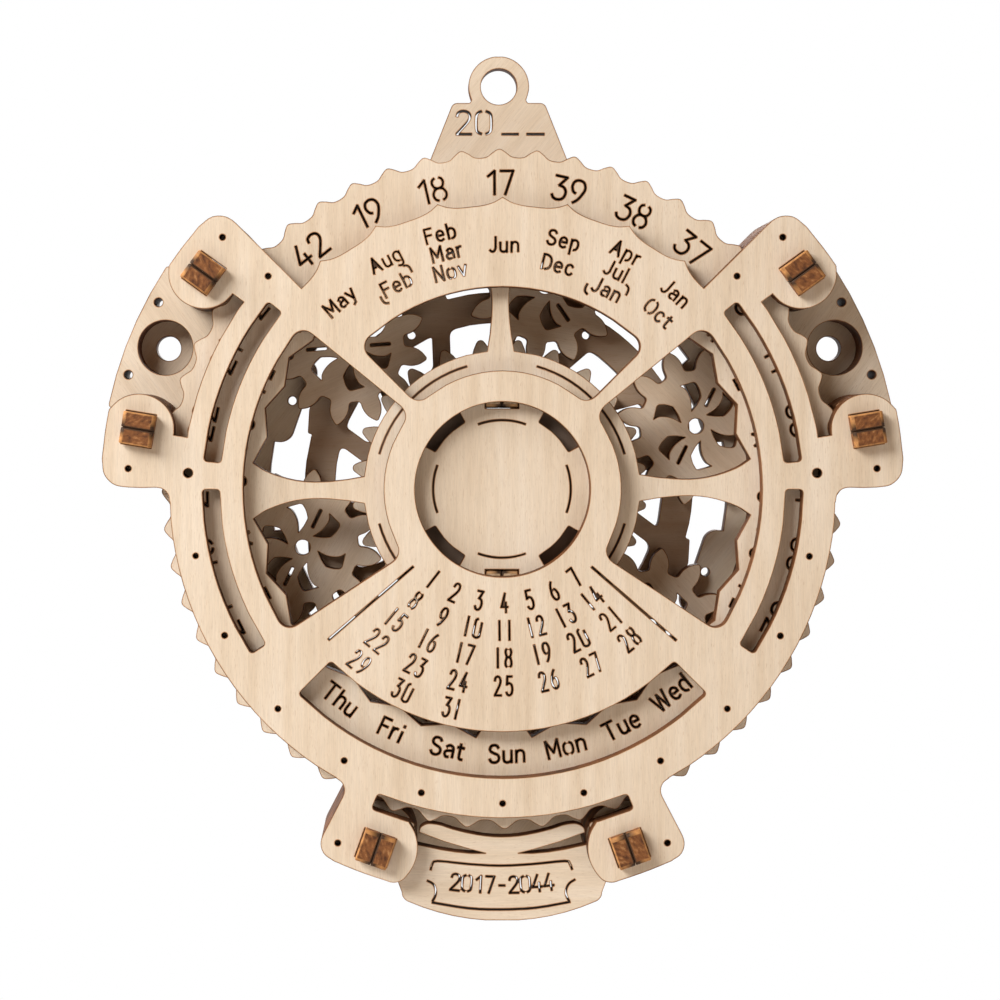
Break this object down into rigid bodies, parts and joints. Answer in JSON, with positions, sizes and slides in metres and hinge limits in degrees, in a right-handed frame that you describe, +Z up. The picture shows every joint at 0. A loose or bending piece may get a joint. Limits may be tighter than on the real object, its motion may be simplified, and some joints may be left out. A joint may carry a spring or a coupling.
{
  "type": "perpetual calendar",
  "caption": "round wooden perpetual calendar of stacked sheets: a turning year and weekday dial behind a fixed plate, with a planetary gear train showing through windows, hung by a top loop",
  "frame": {"origin": "on the flat back face, at the axis the dial turns on", "axes": "+X to the reader's right, +Y from the front of the calendar to its back, +Z up towards the hanging loop"},
  "size_m": [0.1882, 0.0289, 0.2065],
  "materials": {
    "face_ply": "bare birch plywood, burnt cut edges",
    "dial_ply": "bare birch plywood, burnt cut edges",
    "inner_ply": "bare birch plywood, burnt cut edges",
    "burnt_ply": "plywood edge browned by the laser"
  },
  "bodies": {
    "frame": {"front_plate": "face_ply", "hub_disc": "face_ply", "bottom_plate": "dial_ply", "ear_block_upper_right": "inner_ply", "ear_block_upper_left": "inner_ply", "ear_block_lower_right": "inner_ply", "ear_block_lower_left": "inner_ply", "foot_block_right": "inner_ply", "foot_block_left": "inner_ply", "hub_spacer_1": "inner_ply", "hub_spacer_2": "inner_ply", "hub_spacer_3": "inner_ply", "side_plate_right_front": "face_ply", "side_plate_left_front": "face_ply", "side_plate_right_back": "face_ply", "side_plate_left_back": "face_ply", "sun_gear": "inner_ply", "base_wheel": "inner_ply", "back_plate": "face_ply", "clip_upper_right_a": "burnt_ply", "clip_upper_right_b": "burnt_ply", "clip_lower_right_a": "burnt_ply", "clip_lower_right_b": "burnt_ply", "clip_foot_right_a": "burnt_ply", "clip_foot_right_b": "burnt_ply", "clip_upper_left_a": "burnt_ply", "clip_upper_left_b": "burnt_ply", "clip_lower_left_a": "burnt_ply", "clip_lower_left_b": "burnt_ply", "clip_foot_left_a": "burnt_ply", "clip_foot_left_b": "burnt_ply", "hub_clip_top_a": "burnt_ply", "hub_clip_top_b": "burnt_ply", "hub_clip_bottom_a": "burnt_ply", "hub_clip_bottom_b": "burnt_ply"},
    "dial": {"dial_disc": "dial_ply", "dial_spacer_ring_1": "inner_ply", "dial_spacer_ring_2": "inner_ply", "dial_spacer_ring_3": "inner_ply", "ring_gear": "inner_ply"},
    "planet_ring": {"planet_retaining_ring": "inner_ply"},
    "planet_1": {"planet_gear_1": "dial_ply"},
    "planet_2": {"planet_gear_2": "dial_ply"},
    "planet_3": {"planet_gear_3": "dial_ply"},
    "planet_4": {"planet_gear_4": "dial_ply"},
    "planet_5": {"planet_gear_5": "dial_ply"},
    "planet_6": {"planet_gear_6": "dial_ply"}
  },
  "joints": [
    {"name": "dial_turn", "type": "hinge", "parent": "frame", "child": "dial", "pos_m": [0, -0.0203, 0], "axis": [0, 1, 0], "continuous": true},
    {"name": "planet_ring_turn", "type": "hinge", "parent": "frame", "child": "planet_ring", "pos_m": [0, -0.0092, 0], "axis": [0, 1, 0], "continuous": true},
    {"name": "planet_1_spin", "type": "hinge", "parent": "planet_ring", "child": "planet_1", "pos_m": [0.04768, -0.0055, 0.01471], "axis": [0, 1, 0], "continuous": true},
    {"name": "planet_2_spin", "type": "hinge", "parent": "planet_ring", "child": "planet_2", "pos_m": [0.0111, -0.0055, 0.04865], "axis": [0, 1, 0], "continuous": true},
    {"name": "planet_3_spin", "type": "hinge", "parent": "planet_ring", "child": "planet_3", "pos_m": [-0.03658, -0.0055, 0.03394], "axis": [0, 1, 0], "continuous": true},
    {"name": "planet_4_spin", "type": "hinge", "parent": "planet_ring", "child": "planet_4", "pos_m": [-0.04768, -0.0055, -0.01471], "axis": [0, 1, 0], "continuous": true},
    {"name": "planet_5_spin", "type": "hinge", "parent": "planet_ring", "child": "planet_5", "pos_m": [-0.0111, -0.0055, -0.04865], "axis": [0, 1, 0], "continuous": true},
    {"name": "planet_6_spin", "type": "hinge", "parent": "planet_ring", "child": "planet_6", "pos_m": [0.03658, -0.0055, -0.03394], "axis": [0, 1, 0], "continuous": true}
  ],
  "couplings": [
    {"joint": "planet_ring_turn", "follows": "dial_turn", "ratio": 0.66667},
    {"joint": "planet_1_spin", "follows": "dial_turn", "ratio": 1.3333},
    {"joint": "planet_2_spin", "follows": "dial_turn", "ratio": 1.3333},
    {"joint": "planet_3_spin", "follows": "dial_turn", "ratio": 1.3333},
    {"joint": "planet_4_spin", "follows": "dial_turn", "ratio": 1.3333},
    {"joint": "planet_5_spin", "follows": "dial_turn", "ratio": 1.3333},
    {"joint": "planet_6_spin", "follows": "dial_turn", "ratio": 1.3333}
  ]
}
